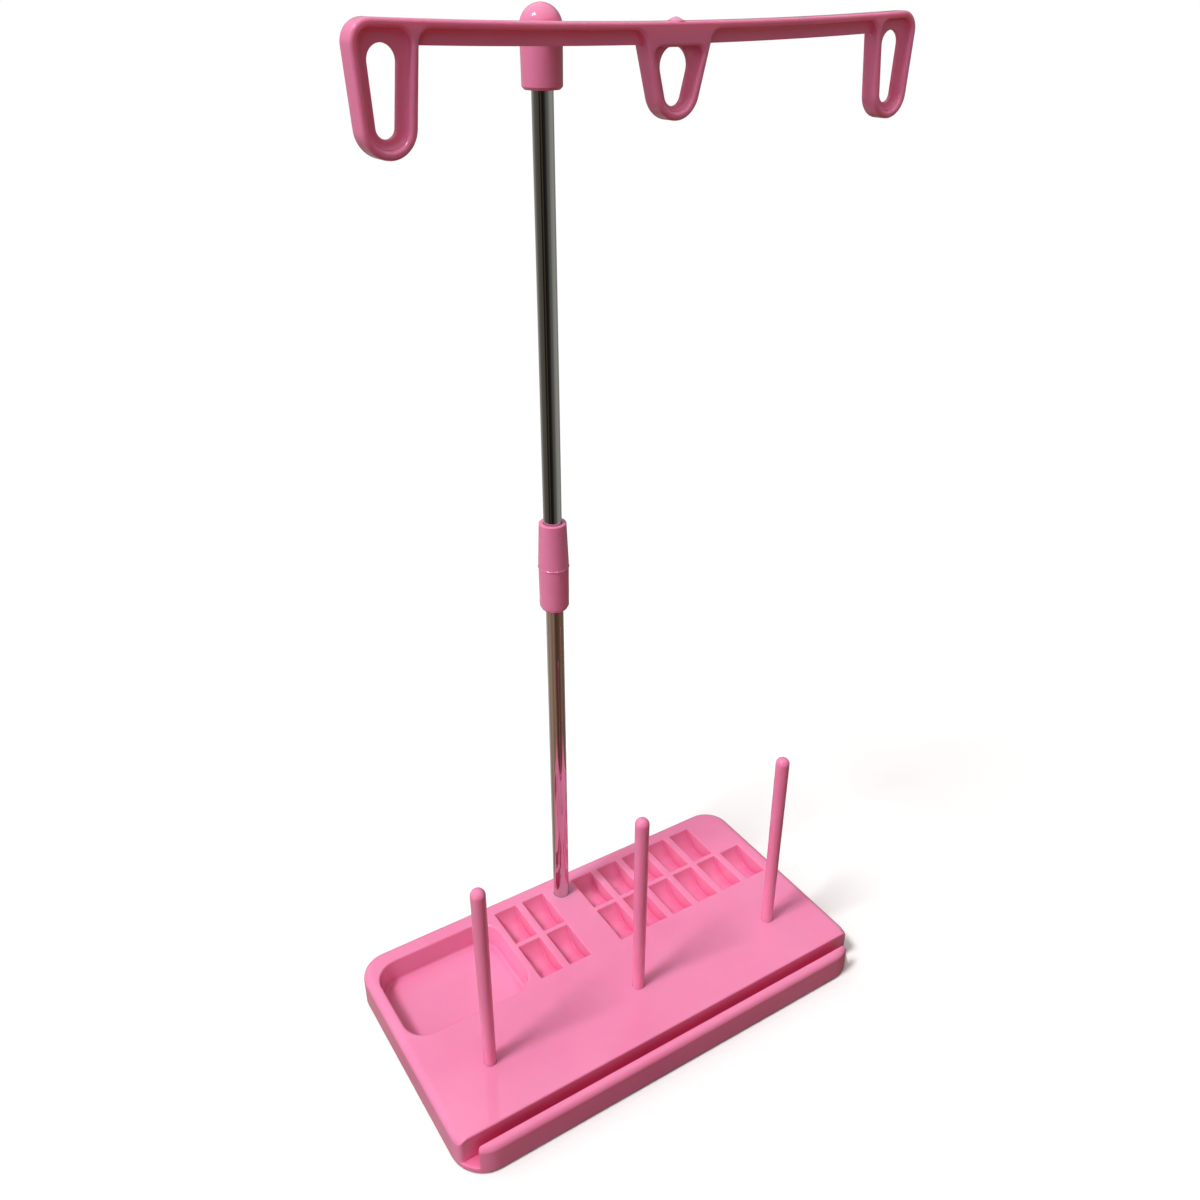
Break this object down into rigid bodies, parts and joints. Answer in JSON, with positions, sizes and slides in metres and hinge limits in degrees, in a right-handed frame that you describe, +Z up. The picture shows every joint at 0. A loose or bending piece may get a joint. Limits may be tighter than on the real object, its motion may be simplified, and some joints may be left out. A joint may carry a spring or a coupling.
{
  "type": "thread spool stand",
  "caption": "Free-standing thread spool stand: moulded base with spool pins, bobbin cells, tray and slot, and a chromed post with a swivelling thread guide.",
  "frame": {"origin": "centre of the base's footprint, on the surface that the stand rests on", "axes": "+X to the stand's right, towards the last bobbin cells; +Y to its back, where the post stands; +Z up along the post"},
  "size_m": [0.2259, 0.126, 0.4405],
  "materials": {
    "pink_plastic": "glossy injection-moulded pink plastic with faint flow and sink marks",
    "chrome_tube": "bright chromed steel tube with fine lengthwise drawing marks",
    "pad_rubber": "matt black anti-slip rubber"
  },
  "bodies": {
    "base": {"base_shell": "pink_plastic", "foot_pad_front_left": "pad_rubber", "foot_pad_front_right": "pad_rubber", "foot_pad_back_left": "pad_rubber", "foot_pad_back_right": "pad_rubber"},
    "left_pin": {"spool_pin_left": "pink_plastic"},
    "center_pin": {"spool_pin_center": "pink_plastic"},
    "right_pin": {"spool_pin_right": "pink_plastic"},
    "lower_post": {"lower_tube": "chrome_tube", "tube_coupler": "pink_plastic"},
    "upper_post": {"upper_tube": "chrome_tube"},
    "guide": {"thread_guide": "pink_plastic"}
  },
  "joints": [
    {"name": "lower_post_lift", "type": "slide", "parent": "base", "child": "lower_post", "axis": [0, 0, 1], "range_m": [0, 0.013]},
    {"name": "upper_post_lift", "type": "slide", "parent": "lower_post", "child": "upper_post", "axis": [0, 0, 1], "range_m": [0, 0.021]},
    {"name": "guide_swivel", "type": "hinge", "parent": "upper_post", "child": "guide", "pos_m": [0, 0.0496, 0.4285], "axis": [0, 0, 1], "continuous": true},
    {"name": "left_pin_lift", "type": "slide", "parent": "base", "child": "left_pin", "axis": [0, 0, 1], "range_m": [0, 0.0117]},
    {"name": "center_pin_lift", "type": "slide", "parent": "base", "child": "center_pin", "axis": [0, 0, 1], "range_m": [0, 0.0117]},
    {"name": "right_pin_lift", "type": "slide", "parent": "base", "child": "right_pin", "axis": [0, 0, 1], "range_m": [0, 0.0117]}
  ]
}
